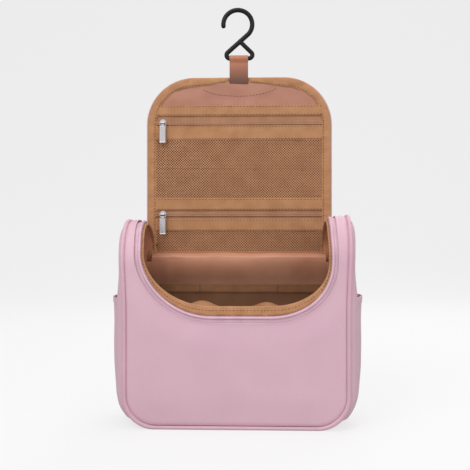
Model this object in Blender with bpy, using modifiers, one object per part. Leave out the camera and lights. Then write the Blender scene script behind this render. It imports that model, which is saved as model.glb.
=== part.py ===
"""Hanging toiletry bag, standing open: a loaf-shaped case whose padded lid is raised on its
back edge, with a hook on a short strap at the lid's free end.

Units are metres, +Z is up and the front faces -Y. The origin is on the standing surface,
under the middle of the bag. The lid folds in three rigid sections, as a soft lid bends."""

from math import cos, pi, radians, sin

import bmesh
import bpy
from mathutils import Matrix, Vector

# ---------------------------------------------------------------- driving dimensions
GAP = 0.0003  # between pieces that touch
WIDE = 0.130  # beyond every wall, for cutters

# Case: two flat walls and two arched sides. The side view is a tombstone.
HALF_DEPTH = 0.050  # radius of the arch, and half the depth
ARCH_Z = 0.174  # height of the arch's centre
CASE_HALF = 0.1205  # half the width over the piping
BASE_Z = 0.0015  # underside of the base panel
CORNER = 0.036  # bottom corners, seen from the front
PIPING_RADIUS = 0.0022

# Layers of a wall, from outside to inside
LEATHER = 0.0012
FOAM = 0.0025
LINING = 0.0006
FOAM_IN = LEATHER + GAP
LINING_IN = FOAM_IN + FOAM + GAP

# Wall panels stop beside the piping
PANEL_HALF = CASE_HALF - 2 * PIPING_RADIUS - GAP
PANEL_BOTTOM = 2 * PIPING_RADIUS + GAP
PANEL_CORNER = CORNER - 2 * PIPING_RADIUS - GAP
GUSSET_HALF_DEPTH = HALF_DEPTH - 0.0037

# U-shaped mouth in the front wall, which runs on over the arch between two arms
MOUTH_HALF = 0.107
MOUTH_BOTTOM = 0.1126
MOUTH_CORNER = 0.048
TAPE = 0.0008
TAPE_WIDTH = 0.0081
RIM_HALF = 0.0955  # inner edge of the rim binding, at the arms
RIM_TOP = 0.130  # and at the front
RIM_CORNER = 0.033

# Lid, measured along its length from the hinge line
HINGE_Z = 0.175
FOLD_LOWER = 0.079
FOLD_UPPER = 0.1375
LID_HALF = 0.094  # stiff panel
LID_END = 0.203
LID_CORNER = 0.0317
EDGE_HALF = 0.1075  # with the cloth edge round it
EDGE_END = 0.214
EDGE_CORNER = 0.051
EDGE_START = 0.030
POCKET_HALF = 0.0937
BAND = 0.0013

# Pockets on the lid: where each strip starts and ends along the lid
LOWER_MESH = (0.0060, 0.0342)
LOWER_BAND_A = (0.0345, 0.0490)
LOWER_ZIP = 0.0539
LOWER_BAND_B = (0.0588, 0.0730)
UPPER_MESH = (0.0850, 0.1338)
UPPER_BAND_A = (0.1412, 0.1557)
UPPER_ZIP = 0.1606
UPPER_BAND_B = (0.1655, 0.1810)
HOOK_PATCH = (0.1813, 0.2020)

# Zip sliders and their pulls
SLIDER_HALF = 0.0045
PULL_WIDTH = 0.0065
PULL_LENGTH = 0.021
PULL_THICK = 0.0012
PIN_RADIUS = 0.0007
POCKET_SLIDER_X = -0.0885
MAIN_SLIDER_ANGLE = radians(20)
MAIN_SLIDER_X = 0.09885
MAIN_PIN_RADIUS = 0.0555  # distance of a main pull's pin from the arch's centre

# Strap and hook
STRAP_WIDTH = 0.0216
STRAP_BOTTOM = 0.3775
STRAP_PLY = 0.0013
HOOK_WIRE = 0.0027  # radius
HOOK_BAR_Z = 0.4108
HOOK_Y = 0.04315
LOOP_RADIUS = HOOK_WIRE + GAP + STRAP_PLY

PINK = (0.68, 0.45, 0.53, 1)
TAN = (0.46, 0.24, 0.12, 1)
TERRACOTTA = (0.43, 0.22, 0.16, 1)
WHITE_FOAM = (0.85, 0.84, 0.80, 1)
BOARD = (0.30, 0.28, 0.26, 1)
SILVER = (0.62, 0.60, 0.60, 1)
BLACK = (0.02, 0.02, 0.022, 1)


# ---------------------------------------------------------------- scene and helpers
for old in list(bpy.data.objects):
    bpy.data.objects.remove(old, do_unlink=True)
bag = bpy.data.collections.new("hanging_toiletry_bag")
cutters = bpy.data.collections.new("cutters")
for group in (bag, cutters):
    bpy.context.scene.collection.children.link(group)


def add(name, mesh, colour=None, roughness=0.6, metallic=0.0):
    """Links a part, or a hidden cutter when it has no colour."""
    piece = bpy.data.objects.new(name, mesh)
    if colour is None:
        cutters.objects.link(piece)
        piece.hide_render = True
        piece.display_type = "WIRE"
        return piece
    bag.objects.link(piece)
    surface = bpy.data.materials.new(name)
    surface.use_nodes = True
    shader = surface.node_tree.nodes["Principled BSDF"]
    shader.inputs["Base Color"].default_value = colour
    shader.inputs["Roughness"].default_value = roughness
    shader.inputs["Metallic"].default_value = metallic
    mesh.materials.append(surface)
    return piece


def prism(outline, axis, low, high):
    """A flat outline pushed along an axis. It holds (y, z) for X and (x, z) for Y."""
    model = bmesh.new()
    place = {"X": lambda a, b: (low, a, b), "Y": lambda a, b: (a, low, b)}[axis]
    face = model.faces.new([model.verts.new(place(a, b)) for a, b in outline])
    pushed = bmesh.ops.extrude_face_region(model, geom=[face])["geom"]
    move = Vector((high - low, 0, 0)) if axis == "X" else Vector((0, high - low, 0))
    moved = [v for v in pushed if isinstance(v, bmesh.types.BMVert)]
    bmesh.ops.translate(model, verts=moved, vec=move)
    bmesh.ops.recalc_face_normals(model, faces=model.faces)
    mesh = bpy.data.meshes.new("prism")
    model.to_mesh(mesh)
    model.free()
    return mesh


def box(x, y, z):
    """A cube from pairs of limits."""
    model = bmesh.new()
    size = [b - a for a, b in (x, y, z)]
    middle = [(a + b) / 2 for a, b in (x, y, z)]
    place = Matrix.Translation(middle) @ Matrix.Diagonal((*size, 1))
    bmesh.ops.create_cube(model, size=1, matrix=place)
    mesh = bpy.data.meshes.new("box")
    model.to_mesh(mesh)
    model.free()
    return mesh


def rod(radius, length, sides=16):
    """A cylinder along X, centred on the origin."""
    model = bmesh.new()
    bmesh.ops.create_cone(
        model,
        cap_ends=True,
        segments=sides,
        radius1=radius,
        radius2=radius,
        depth=length,
        matrix=Matrix.Rotation(pi / 2, 4, "Y"),
    )
    mesh = bpy.data.meshes.new("rod")
    model.to_mesh(mesh)
    model.free()
    return mesh


def combine(piece, other, operation):
    """Cuts, joins or trims a piece with a hidden object."""
    step = piece.modifiers.new(operation.lower(), "BOOLEAN")
    step.operation = operation
    step.solver = "EXACT"
    step.object = other


def arc(centre_a, centre_b, radius, start, end, steps):
    """Points round a centre, angles in degrees."""
    turn = [radians(start + (end - start) * i / steps) for i in range(steps + 1)]
    return [(centre_a + radius * cos(t), centre_b + radius * sin(t)) for t in turn]


def cup_outline(half, bottom, corner, top):
    """Upright sides and a bottom with round corners, as (x, z)."""
    steps = 8
    left = arc(corner - half, bottom + corner, corner, 180, 270, steps)
    right = arc(half - corner, bottom + corner, corner, 270, 360, steps)
    return [(-half, top), *left, *right, (half, top)]


def arch_shell(inset, thickness, front_z):
    """The wall as a layer: up the front and over the arch to the back, as (y, z)."""
    steps = 20
    outer = HALF_DEPTH - inset
    inner = outer - thickness
    over = arc(0, ARCH_Z, outer, 180, 0, steps)
    under = arc(0, ARCH_Z, inner, 0, 180, steps)
    return [(-outer, front_z), *over, *under, (-inner, front_z)]


def front_shape(half, bottom, corner):
    """A cutter of everything inside an outline that is open at the top."""
    outline = cup_outline(half, bottom, corner, 0.25)
    return add("front_shape", prism(outline, "Y", -0.07, 0.07))


def mouth(inset):
    return front_shape(MOUTH_HALF - inset, MOUTH_BOTTOM + inset, MOUTH_CORNER - inset)


def side_shape(inset):
    """A cutter of everything inside the side view, inset from its outer face."""
    reach = HALF_DEPTH - inset
    outline = [(-reach, -0.01), *arc(0, ARCH_Z, reach, 180, 0, 20), (reach, -0.01)]
    return add("side_shape", prism(outline, "X", -WIDE, WIDE))


# ---------------------------------------------------------------- case walls
def front_wall(name, inset, thickness, outline, opening, colour, roughness):
    """One layer of the front wall with its two arms, which run over the arch to the back."""
    layer = prism(arch_shell(inset, thickness, 0), "X", -WIDE, WIDE)
    wall = add(name, layer, colour, roughness)
    combine(wall, front_shape(*outline), "INTERSECT")
    combine(wall, mouth(opening), "DIFFERENCE")


def back_wall(name, inset, thickness, outline, top, colour, roughness):
    shape = cup_outline(*outline, top)
    outer = HALF_DEPTH - inset
    add(name, prism(shape, "Y", outer - thickness, outer), colour, roughness)


PANEL = (PANEL_HALF, PANEL_BOTTOM, PANEL_CORNER)
LINED = (CASE_HALF - 0.0024, 0.0058, 0.0311)
front_wall("front_panel", 0, LEATHER, PANEL, 0, PINK, 0.5)
front_wall("front_foam", FOAM_IN, FOAM, PANEL, -GAP, WHITE_FOAM, 0.9)
front_wall("front_lining", LINING_IN, LINING, LINED, TAPE_WIDTH + GAP, TERRACOTTA, 0.4)
RELIEF_Z = ARCH_Z - 0.006  # the lid's padding swings into this space
back_wall("back_panel", 0, LEATHER, PANEL, ARCH_Z - GAP, PINK, 0.5)
back_wall("back_foam", FOAM_IN, FOAM, PANEL, RELIEF_Z, WHITE_FOAM, 0.9)
back_wall("back_lining", LINING_IN, LINING, LINED, RELIEF_Z, TERRACOTTA, 0.4)


def strip(half, bottom, corner, thickness, top=ARCH_Z + HALF_DEPTH + 0.005):
    """A band that runs down one side, across the bottom and up the other, as (x, z)."""
    outer = cup_outline(half, bottom, corner, top)
    inner = cup_outline(half - thickness, bottom + thickness, corner - thickness, top)
    return [*outer, *reversed(inner)]


def gussets():
    """The two side panels, with the bottom corners, and the base panel between them."""
    ring = prism(
        strip(CASE_HALF, BASE_Z, CORNER, LEATHER),
        "Y",
        -GUSSET_HALF_DEPTH,
        GUSSET_HALF_DEPTH,
    )
    seam = CASE_HALF - CORNER
    trim = side_shape(HALF_DEPTH - GUSSET_HALF_DEPTH)
    for name, side in (("left_gusset", -1), ("right_gusset", 1)):
        gusset = add(name, ring.copy(), PINK, 0.5)
        limits = sorted((side * seam, side * WIDE))
        keep = add("side_keep", box(limits, (-0.07, 0.07), (-0.01, 0.24)))
        combine(gusset, keep, "INTERSECT")
        combine(gusset, trim, "INTERSECT")
    flat = (GAP - seam, seam - GAP)
    deep = (-GUSSET_HALF_DEPTH, GUSSET_HALF_DEPTH)
    add("base_panel", box(flat, deep, (BASE_Z, BASE_Z + LEATHER)), PINK, 0.5)
    board = (BASE_Z + LEATHER + GAP, BASE_Z + LEATHER + GAP + 0.0016)
    add("base_board", box(flat, (-0.0448, 0.0448), board), BOARD, 0.8)


def gusset_lining():
    """One lining strip: left side, base and right side."""
    reach = HALF_DEPTH - FOAM_IN - FOAM - GAP
    ring = prism(strip(CASE_HALF - 0.0015, 0.0049, 0.032, LINING), "Y", -reach, reach)
    lining = add("gusset_lining", ring, TERRACOTTA, 0.4)
    combine(lining, side_shape(HALF_DEPTH - reach), "INTERSECT")


def piping(name, side):
    """A covered cord along one edge of the gusset, from arch top to arch top."""
    x = CASE_HALF - PIPING_RADIUS
    reach = HALF_DEPTH - LEATHER
    corner = CORNER - BASE_Z - PIPING_RADIUS / 3
    low = PIPING_RADIUS
    over = [(x, side * reach * cos(t), ARCH_Z + reach * sin(t)) for t in arch_turn(9)]
    turn = arc(x - corner, low + corner, corner, 0, -90, 7)
    down = [(a, side * reach, b) for a, b in turn]
    right = [*over, *down]
    left = [(-a, b, c) for a, b, c in reversed(right)]
    tube(name, [*right, *left], PIPING_RADIUS, PINK, 0.5)


def arch_turn(steps):
    """Angles from just beside the arch's top down to the wall."""
    top = pi / 2 - 0.008
    return [top * (1 - i / steps) for i in range(steps + 1)]


def tube(name, points, radius, colour, roughness):
    curve = bpy.data.curves.new(name, "CURVE")
    curve.dimensions = "3D"
    curve.bevel_depth = radius
    curve.bevel_resolution = 2
    curve.use_fill_caps = True
    line = curve.splines.new("POLY")
    line.points.add(len(points) - 1)
    for point, place in zip(line.points, points):
        point.co = (*place, 1)
    return add(name, curve, colour, roughness)


gussets()
gusset_lining()
piping("front_piping", -1)
piping("back_piping", 1)


def side_pocket(name, side):
    """A slip pocket that bulges out from the gusset and is open at its top hem."""
    half_depth, bottom, top = 0.044, 0.026, 0.1385
    start = CASE_HALF + 0.0004
    bulge = 0.0134
    model = bmesh.new()
    bmesh.ops.create_grid(model, x_segments=12, y_segments=10, size=1)
    for corner in model.verts:
        across, up = corner.co.x, (corner.co.y + 1) / 2
        out = bulge * cos(across * pi / 2) ** 0.7 * sin(up * pi / 2) ** 0.8 if up else 0
        corner.co = (
            side * (start + out),
            across * half_depth,
            bottom + up * (top - bottom),
        )
    mesh = bpy.data.meshes.new(name)
    model.to_mesh(mesh)
    model.free()
    pocket = add(name, mesh, PINK, 0.5)
    shell = pocket.modifiers.new("shell", "SOLIDIFY")
    shell.thickness = LEATHER
    shell.offset = side


side_pocket("left_side_pocket", -1)
side_pocket("right_side_pocket", 1)


# ---------------------------------------------------------------- mouth: zip and binding
def body_zip():
    """The case's half of the main zip: tape along the mouth, with its coil on the free edge."""
    tape_in = 0.0002
    layer = prism(arch_shell(tape_in, TAPE, 0), "X", -WIDE, WIDE)
    tape = add("body_zip", layer, PINK, 0.7)
    combine(tape, mouth(GAP), "INTERSECT")
    combine(tape, mouth(TAPE_WIDTH), "DIFFERENCE")
    coil = add("coil_bar", prism(arch_shell(-0.0002, 0.0016, 0), "X", -WIDE, WIDE))
    combine(coil, mouth(TAPE_WIDTH - 0.0006), "INTERSECT")
    combine(coil, mouth(TAPE_WIDTH + 0.0017), "DIFFERENCE")
    combine(tape, coil, "UNION")


def body_binding():
    """Tan tape round the raw edge inside the mouth."""
    layer = prism(arch_shell(0.0038, 0.0030, 0), "X", -WIDE, WIDE)
    binding = add("body_binding", layer, TAN, 0.8)
    combine(binding, mouth(TAPE_WIDTH + 2 * GAP), "INTERSECT")
    combine(binding, front_shape(RIM_HALF, RIM_TOP, RIM_CORNER), "DIFFERENCE")


body_zip()
body_binding()


# ---------------------------------------------------------------- mesh pockets in the case
def wall_pocket(side, name, mesh_z, band_z, plane):
    """A flat mesh pocket on the inside of a wall, with a band along its mouth."""
    half = 0.100
    near, far = sorted((side * plane, side * (plane + 0.0008)))
    add(f"{name}_mesh_pocket", box((-half, half), (near, far), mesh_z), TAN, 0.8)
    near, far = sorted((side * (plane - 0.0002), side * (plane + 0.0010)))
    add(f"{name}_pocket_band", box((-half, half), (near, far), band_z), TAN, 0.8)


wall_pocket(1, "rear", (0.045, 0.1377), (0.138, 0.148), 0.0426)
wall_pocket(-1, "front", (0.040, 0.1167), (0.117, 0.128), 0.0412)


# ---------------------------------------------------------------- lid
def lid_panel(start, end, half=LID_HALF, corner=None):
    """A lid panel's outline, as (x, z). A corner radius rounds its free end."""
    low, high = HINGE_Z + start, HINGE_Z + end
    if corner is None:
        return [(-half, low), (half, low), (half, high), (-half, high)]
    right = arc(half - corner, high - corner, corner, 0, 90, 8)
    left = arc(corner - half, high - corner, corner, 90, 180, 8)
    return [(-half, low), (half, low), *right, *left]


def on_lid(name, outline, inset, thickness, colour, roughness=0.6):
    """A flat piece of the lid, inset from the lid's outer face."""
    outer = HALF_DEPTH - inset
    add(name, prism(outline, "Y", outer - thickness, outer), colour, roughness)


# Where a section ends short of its fold, so that the layers don't meet as it closes
SPARE_LOWER = {"outer": 0.0016, "foam": 0.0043, "lining": 0.0051}
SPARE_UPPER = {"outer": 0.0010, "foam": 0.0027, "lining": 0.0031}


def lid_layers():
    """Outer leather, foam and lining of the three sections."""
    layers = (
        ("outer", 0, LEATHER, PINK),
        ("foam", FOAM_IN, FOAM, WHITE_FOAM),
        ("lining", LINING_IN, LINING, TERRACOTTA),
    )
    for kind, inset, thickness, colour in layers:
        low, high = SPARE_LOWER[kind], SPARE_UPPER[kind]
        rear = lid_panel(GAP if kind == "outer" else 0.0035, FOLD_LOWER - low)
        middle = lid_panel(FOLD_LOWER + low, FOLD_UPPER - high)
        front = lid_panel(FOLD_UPPER + high, LID_END, LID_HALF, LID_CORNER)
        for place, outline in (("rear", rear), ("middle", middle), ("front", front)):
            on_lid(f"lid_{kind}_{place}", outline, inset, thickness, colour)


def lid_edges():
    """The lid's half of the main zip, and the tan binding inside it, in cloth."""
    inner_half = LID_HALF + GAP
    rear = (EDGE_START, FOLD_LOWER - SPARE_LOWER["lining"])
    middle = (FOLD_LOWER + SPARE_LOWER["lining"], FOLD_UPPER - SPARE_UPPER["lining"])
    start = FOLD_UPPER + SPARE_UPPER["lining"]
    rim = lid_panel(start, EDGE_END, EDGE_HALF, EDGE_CORNER)
    hole = lid_panel(start, LID_END + GAP, inner_half, LID_CORNER + GAP)
    front = [*rim[1:], rim[0], hole[0], *reversed(hole[1:])]
    kinds = (("zip", 0, LEATHER, PINK), ("binding", 0.0015, 0.0034, TAN))
    for kind, inset, thickness, colour in kinds:
        on_lid(f"lid_{kind}_front", front, inset, thickness, colour, 0.8)
        for place, (low, high) in (("rear", rear), ("middle", middle)):
            for hand, side in (("left", -1), ("right", 1)):
                near, far = sorted((side * inner_half, side * EDGE_HALF))
                bottom, top = HINGE_Z + low, HINGE_Z + high
                outline = [(near, bottom), (far, bottom), (far, top), (near, top)]
                name = f"lid_{kind}_{place}_{hand}"
                on_lid(name, outline, inset, thickness, colour, 0.8)


lid_layers()
lid_edges()

POCKET_IN = LINING_IN + LINING + GAP


def lid_pockets():
    """Mesh panels, tan bands and the patch that the hook stows behind."""
    pieces = (
        ("lower_mesh", LOWER_MESH, 0.0008, TAN),
        ("lower_pocket_band_below", LOWER_BAND_A, BAND, TAN),
        ("lower_pocket_band_above", LOWER_BAND_B, BAND, TAN),
        ("upper_mesh", UPPER_MESH, 0.0008, TAN),
        ("upper_pocket_band_below", UPPER_BAND_A, BAND, TAN),
        ("upper_pocket_band_above", UPPER_BAND_B, BAND, TAN),
    )
    for name, (low, high), thickness, colour in pieces:
        panel = lid_panel(low, high, POCKET_HALF)
        on_lid(name, panel, POCKET_IN, thickness, colour, 0.8)
    patch = lid_panel(*HOOK_PATCH, POCKET_HALF - 0.001, LID_CORNER - 0.001)
    shape = [point for point in patch if point[1] > HINGE_Z + HOOK_PATCH[0]]
    low = HINGE_Z + HOOK_PATCH[0]
    reach = 0.0905
    outline = [(-reach, low), (reach, low), *shape]
    on_lid("hook_pocket", outline, POCKET_IN, 0.0008, TERRACOTTA, 0.5)


def pocket_zip(name, along):
    """Tape of a pocket zip with the closed coil down its middle."""
    middle = HINGE_Z + along
    y = 0.0430
    tape = box((-POCKET_HALF, POCKET_HALF), (y - 0.0003, y + 0.0003), (middle - 0.0034, middle + 0.0034))
    piece = add(name, tape, TAN, 0.8)
    coil = box((-0.0930, 0.0930), (y - 0.0008, y + 0.0008), (middle - 0.0016, middle + 0.0016))
    combine(piece, add("coil_bar", coil), "UNION")


lid_pockets()
pocket_zip("lower_pocket_zip", LOWER_ZIP)
pocket_zip("upper_pocket_zip", UPPER_ZIP)


# ---------------------------------------------------------------- sliders and pulls
# Each is built about its pin: X along the pin, -Z towards the pull's tip, -Y away from the zip.
def pin_frame(name, place):
    """The empty on a joint's axis, as the parent of what turns there."""
    frame = bpy.data.objects.new(name, None)
    bag.objects.link(frame)
    frame.matrix_world = place
    return frame


def slider(name, place, layers, walls, half):
    """Plates round the coil and two cheeks that hold the pull's pin.

    layers holds the depths from the pin: front plate, slot start, slot end and back face.
    walls are the slot's two limits along Z."""
    plate, slot_start, slot_end, back = layers
    body = box((-half, half), (plate, back), (-half, half))
    piece = add(name, body, SILVER, 0.3, 1.0)
    slot = box((-0.01, 0.01), (slot_start, slot_end), walls)
    combine(piece, add("slot", slot), "DIFFERENCE")
    cheeks = add("cheeks", box((-0.0034, 0.0034), (-0.0013, plate + 0.0004), (-0.0016, 0.0016)))
    gap = add("cheek_gap", box((-0.0026, 0.0026), (-0.01, plate - 0.00005), (-0.01, 0.01)))
    combine(cheeks, gap, "DIFFERENCE")
    pin = add("pin", rod(PIN_RADIUS, 0.0060))
    combine(cheeks, pin, "UNION")
    combine(piece, cheeks, "UNION")
    for part in (piece, cheeks, gap, pin, piece.modifiers[0].object):
        part.matrix_world = place
    return piece


def pull(name, place):
    """A flat tab on a barrel that turns round the pin."""
    barrel_radius = 0.0019
    tab = cup_outline(PULL_WIDTH / 2, -PULL_LENGTH, 0.0015, -0.0045)
    neck = [(0.0018, -0.0045), (0.0018, -0.0013), (-0.0018, -0.0013), (-0.0018, -0.0045)]
    flat = prism([*tab, *neck], "Y", -PULL_THICK / 2, PULL_THICK / 2)
    piece = add(name, flat, SILVER, 0.25, 1.0)
    barrel = add("barrel", rod(barrel_radius, 0.0044, 20))
    combine(piece, barrel, "UNION")
    bore = add("bore", rod(PIN_RADIUS + 0.00035, 0.01))
    combine(piece, bore, "DIFFERENCE")
    for part in (piece, barrel, bore):
        part.matrix_world = place
    return piece


def keep_parent(child, parent):
    child.parent = parent
    child.matrix_parent_inverse = parent.matrix_world.inverted()


def pocket_slider(label, along):
    """A slider at the left end of a pocket zip, its pull hanging straight down."""
    place = Matrix.Translation((POCKET_SLIDER_X, 0.0382, HINGE_Z + along))
    layers = (0.0023, 0.0037, 0.0059, 0.0065)
    body = slider(f"{label}_slider", place, layers, (-0.0037, 0.0037), SLIDER_HALF)
    tab = pull(f"{label}_pull", place)
    axis = pin_frame(f"{label}_pin", place)
    keep_parent(body, axis)
    keep_parent(tab, axis)


def main_slider(label, side):
    """A slider parked at the back end of the main zip, its pull hanging behind the bag."""
    tilt = MAIN_SLIDER_ANGLE
    y, z = MAIN_PIN_RADIUS * cos(tilt), ARCH_Z + MAIN_PIN_RADIUS * sin(tilt)
    at = Matrix.Translation((side * MAIN_SLIDER_X, y, z))
    # The slider's outward direction is the arch's radius, so its -Y turns to that direction.
    place = at @ Matrix.Rotation(pi + tilt, 4, "X")
    layers = (0.0036, 0.00495, 0.0077, 0.0089)
    body = slider(f"{label}_main_slider", place, layers, (-0.01, 0.01), SLIDER_HALF)
    inner = sorted((side * -0.0023, side * -0.0060))
    web = add("web", box(inner, (layers[0], layers[3]), (-SLIDER_HALF, SLIDER_HALF)))
    edge = sorted((side * -0.0041, side * -0.0060))
    trim = add("web_trim", box(edge, (-0.01, 0.02), (-0.01, 0.01)))
    web.matrix_world = place
    trim.matrix_world = place
    combine(body, web, "UNION")
    combine(body, trim, "DIFFERENCE")
    tab = pull(f"{label}_main_pull", at)
    axis = pin_frame(f"{label}_arch_axis", Matrix.Translation((0, 0, ARCH_Z)))
    keep_parent(body, axis)
    keep_parent(tab, axis)


pocket_slider("lower", LOWER_ZIP)
pocket_slider("upper", UPPER_ZIP)
main_slider("left", -1)
main_slider("right", 1)


# ---------------------------------------------------------------- strap and hook
def hang_strap():
    """Two plies sewn together below, which part round the hook's bar."""
    flat = STRAP_PLY + 0.00015
    neck_z = HOOK_BAR_Z - 0.0085
    loop = arc(HOOK_Y, HOOK_BAR_Z, LOOP_RADIUS, -25, 205, 16)
    outline = [
        (HOOK_Y - flat, STRAP_BOTTOM),
        (HOOK_Y + flat, STRAP_BOTTOM),
        (HOOK_Y + flat, neck_z),
        *loop,
        (HOOK_Y - flat, neck_z),
    ]
    half = STRAP_WIDTH / 2
    strap = add("hang_strap", prism(outline, "X", -half, half), TERRACOTTA, 0.5)
    bore = add("bore", rod(HOOK_WIRE + GAP, 0.05, 24))
    bore.matrix_world = Matrix.Translation((0, HOOK_Y, HOOK_BAR_Z))
    combine(strap, bore, "DIFFERENCE")
    axis = pin_frame("strap_axis", Matrix.Translation((0, HOOK_Y - flat, STRAP_BOTTOM)))
    keep_parent(strap, axis)


def rounded(points, radii):
    """A path through points with an arc of the given radius at each inner one."""
    path = [Vector(points[0])]
    corners = zip(points, points[1:], points[2:], radii)
    for before, corner, after, radius in corners:
        before, corner, after = Vector(before), Vector(corner), Vector(after)
        one = (before - corner).normalized()
        two = (after - corner).normalized()
        half_angle = one.angle(two) / 2
        back = radius * cos(half_angle) / sin(half_angle)
        centre = corner + (one + two).normalized() * (radius / sin(half_angle))
        start, end = corner + one * back, corner + two * back
        for i in range(6):
            ray = (start - centre).slerp(end - centre, i / 5) * radius
            path.append(centre + ray)
    return [*path, Vector(points[-1])]


def solid_wire(name, flat_points, radius, colour=None, roughness=0.4):
    """A wire as a closed mesh that Booleans can use."""
    wire = tube("wire", [(x, HOOK_Y, z) for x, z in flat_points], radius, BLACK, 0.4)
    ready = wire.evaluated_get(bpy.context.evaluated_depsgraph_get())
    mesh = bpy.data.meshes.new_from_object(ready)
    mesh.materials.clear()
    model = bmesh.new()
    model.from_mesh(mesh)
    bmesh.ops.remove_doubles(model, verts=model.verts, dist=1e-6)
    bmesh.ops.recalc_face_normals(model, faces=model.faces)
    model.to_mesh(mesh)
    model.free()
    bpy.data.objects.remove(wire, do_unlink=True)
    return add(name, mesh, colour, roughness)


def hook():
    """A plastic crook whose lower end closes in a triangle round the strap."""
    crook = arc(-0.0012, 0.4504, 0.0168, 186, -42, 18)
    foot_left = (-0.0208, HOOK_BAR_Z)
    foot_right = (0.0216, HOOK_BAR_Z)
    bar_end = (0.0040, HOOK_BAR_Z)
    joint = (0.0012, 0.4307)
    leg = rounded([crook[-1], foot_left, bar_end], [0.0040])
    strut = rounded([(0, HOOK_BAR_Z), foot_right, joint], [0.0040])
    piece = solid_wire("hook", [*crook[:-1], *leg], HOOK_WIRE, BLACK)
    combine(piece, solid_wire("strut", strut, 0.96 * HOOK_WIRE), "UNION")
    axis = pin_frame("hook_axis", Matrix.Translation((0, HOOK_Y, HOOK_BAR_Z)))
    keep_parent(piece, axis)


hang_strap()
hook()
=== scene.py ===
"""A hanging toiletry bag of pink faux leather, standing open with its padded lid raised."""

from math import cos, exp, pi, radians, sin, sqrt

import bmesh
import bpy
from mathutils import Matrix, Vector, noise


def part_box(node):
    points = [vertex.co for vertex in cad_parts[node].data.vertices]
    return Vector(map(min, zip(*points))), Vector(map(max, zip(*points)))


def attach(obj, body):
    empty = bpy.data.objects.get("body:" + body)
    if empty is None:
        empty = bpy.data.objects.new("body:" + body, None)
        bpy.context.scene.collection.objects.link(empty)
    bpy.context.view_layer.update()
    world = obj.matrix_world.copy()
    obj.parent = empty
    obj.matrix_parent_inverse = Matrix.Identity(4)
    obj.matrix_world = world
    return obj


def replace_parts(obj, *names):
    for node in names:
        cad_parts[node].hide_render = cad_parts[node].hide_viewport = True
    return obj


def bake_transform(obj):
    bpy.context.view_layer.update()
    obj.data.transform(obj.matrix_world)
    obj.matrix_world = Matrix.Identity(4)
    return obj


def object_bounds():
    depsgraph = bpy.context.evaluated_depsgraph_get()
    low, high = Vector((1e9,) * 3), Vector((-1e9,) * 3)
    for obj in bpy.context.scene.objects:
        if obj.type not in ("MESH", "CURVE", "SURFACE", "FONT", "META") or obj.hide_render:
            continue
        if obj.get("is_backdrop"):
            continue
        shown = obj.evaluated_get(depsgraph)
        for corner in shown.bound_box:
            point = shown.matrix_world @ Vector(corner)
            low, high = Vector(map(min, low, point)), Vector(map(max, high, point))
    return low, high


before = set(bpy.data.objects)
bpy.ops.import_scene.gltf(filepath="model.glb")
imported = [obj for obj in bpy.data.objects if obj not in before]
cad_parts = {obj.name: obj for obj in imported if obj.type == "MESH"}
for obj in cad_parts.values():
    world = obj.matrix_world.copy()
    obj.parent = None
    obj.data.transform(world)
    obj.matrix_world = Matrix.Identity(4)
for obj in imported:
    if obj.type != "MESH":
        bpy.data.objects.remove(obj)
cad_low, cad_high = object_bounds()

# ------------------------------------------------------------------ table and studio
# The bag stands on a pale sweep that curves up behind it, in a white room with five big soft
# lamps. The camera looks level from a little right of the front, near the top of the case.


def linear(red, green, blue):
    """A colour that is given as screen values from 0 to 255."""
    shares = [value / 255 for value in (red, green, blue)]
    return (*[s / 12.92 if s < 0.04045 else ((s + 0.055) / 1.055) ** 2.4 for s in shares], 1)


def add_node(tree, kind, values=None, **settings):
    """A shader node with its settings. An input is a value, a socket or a node's first socket."""
    node = tree.nodes.new("ShaderNode" + kind)
    for key, value in settings.items():
        setattr(node, key, value)
    for key, value in (values or {}).items():
        if isinstance(value, bpy.types.Node):
            value = value.outputs[0]
        if isinstance(value, bpy.types.NodeSocket):
            tree.links.new(value, node.inputs[key])
        else:
            node.inputs[key].default_value = value
    return node


def feed(tree, shader, **sources):
    """Links each node to the input that it is given for."""
    for key, source in sources.items():
        tree.links.new(source.outputs[0], shader.inputs[key.replace("_", " ")])


def toned(tree, colour, amount):
    """A colour made lighter or darker by an amount that changes over the surface."""
    return add_node(tree, "MixRGB", {0: 1.0, 1: colour, 2: amount}, blend_type="MULTIPLY")
def new_finish(name, colour, rough, **constants):
    """A material, its node tree and its shader, whose all-over values are set here."""
    finish = bpy.data.materials.new(name)
    finish.use_nodes = True
    shader = finish.node_tree.nodes["Principled BSDF"]
    shader.inputs["Base Color"].default_value = colour
    shader.inputs["Roughness"].default_value = rough
    for key, value in constants.items():
        shader.inputs[key.replace("_", " ")].default_value = value
    return finish, finish.node_tree, shader


def new_piece(name, model, finish, body="case", crease=50):
    """Turns a bmesh into a smooth-shaded object that has its finish and body."""
    bmesh.ops.recalc_face_normals(model, faces=model.faces)
    mesh = bpy.data.meshes.new(name)
    model.to_mesh(mesh)
    model.free()
    mesh.shade_smooth()
    mesh.set_sharp_from_angle(angle=radians(crease))
    mesh.materials.append(finish)
    piece = bpy.data.objects.new(name, mesh)
    bpy.context.scene.collection.objects.link(piece)
    if body:
        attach(piece, body)
    return piece


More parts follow.
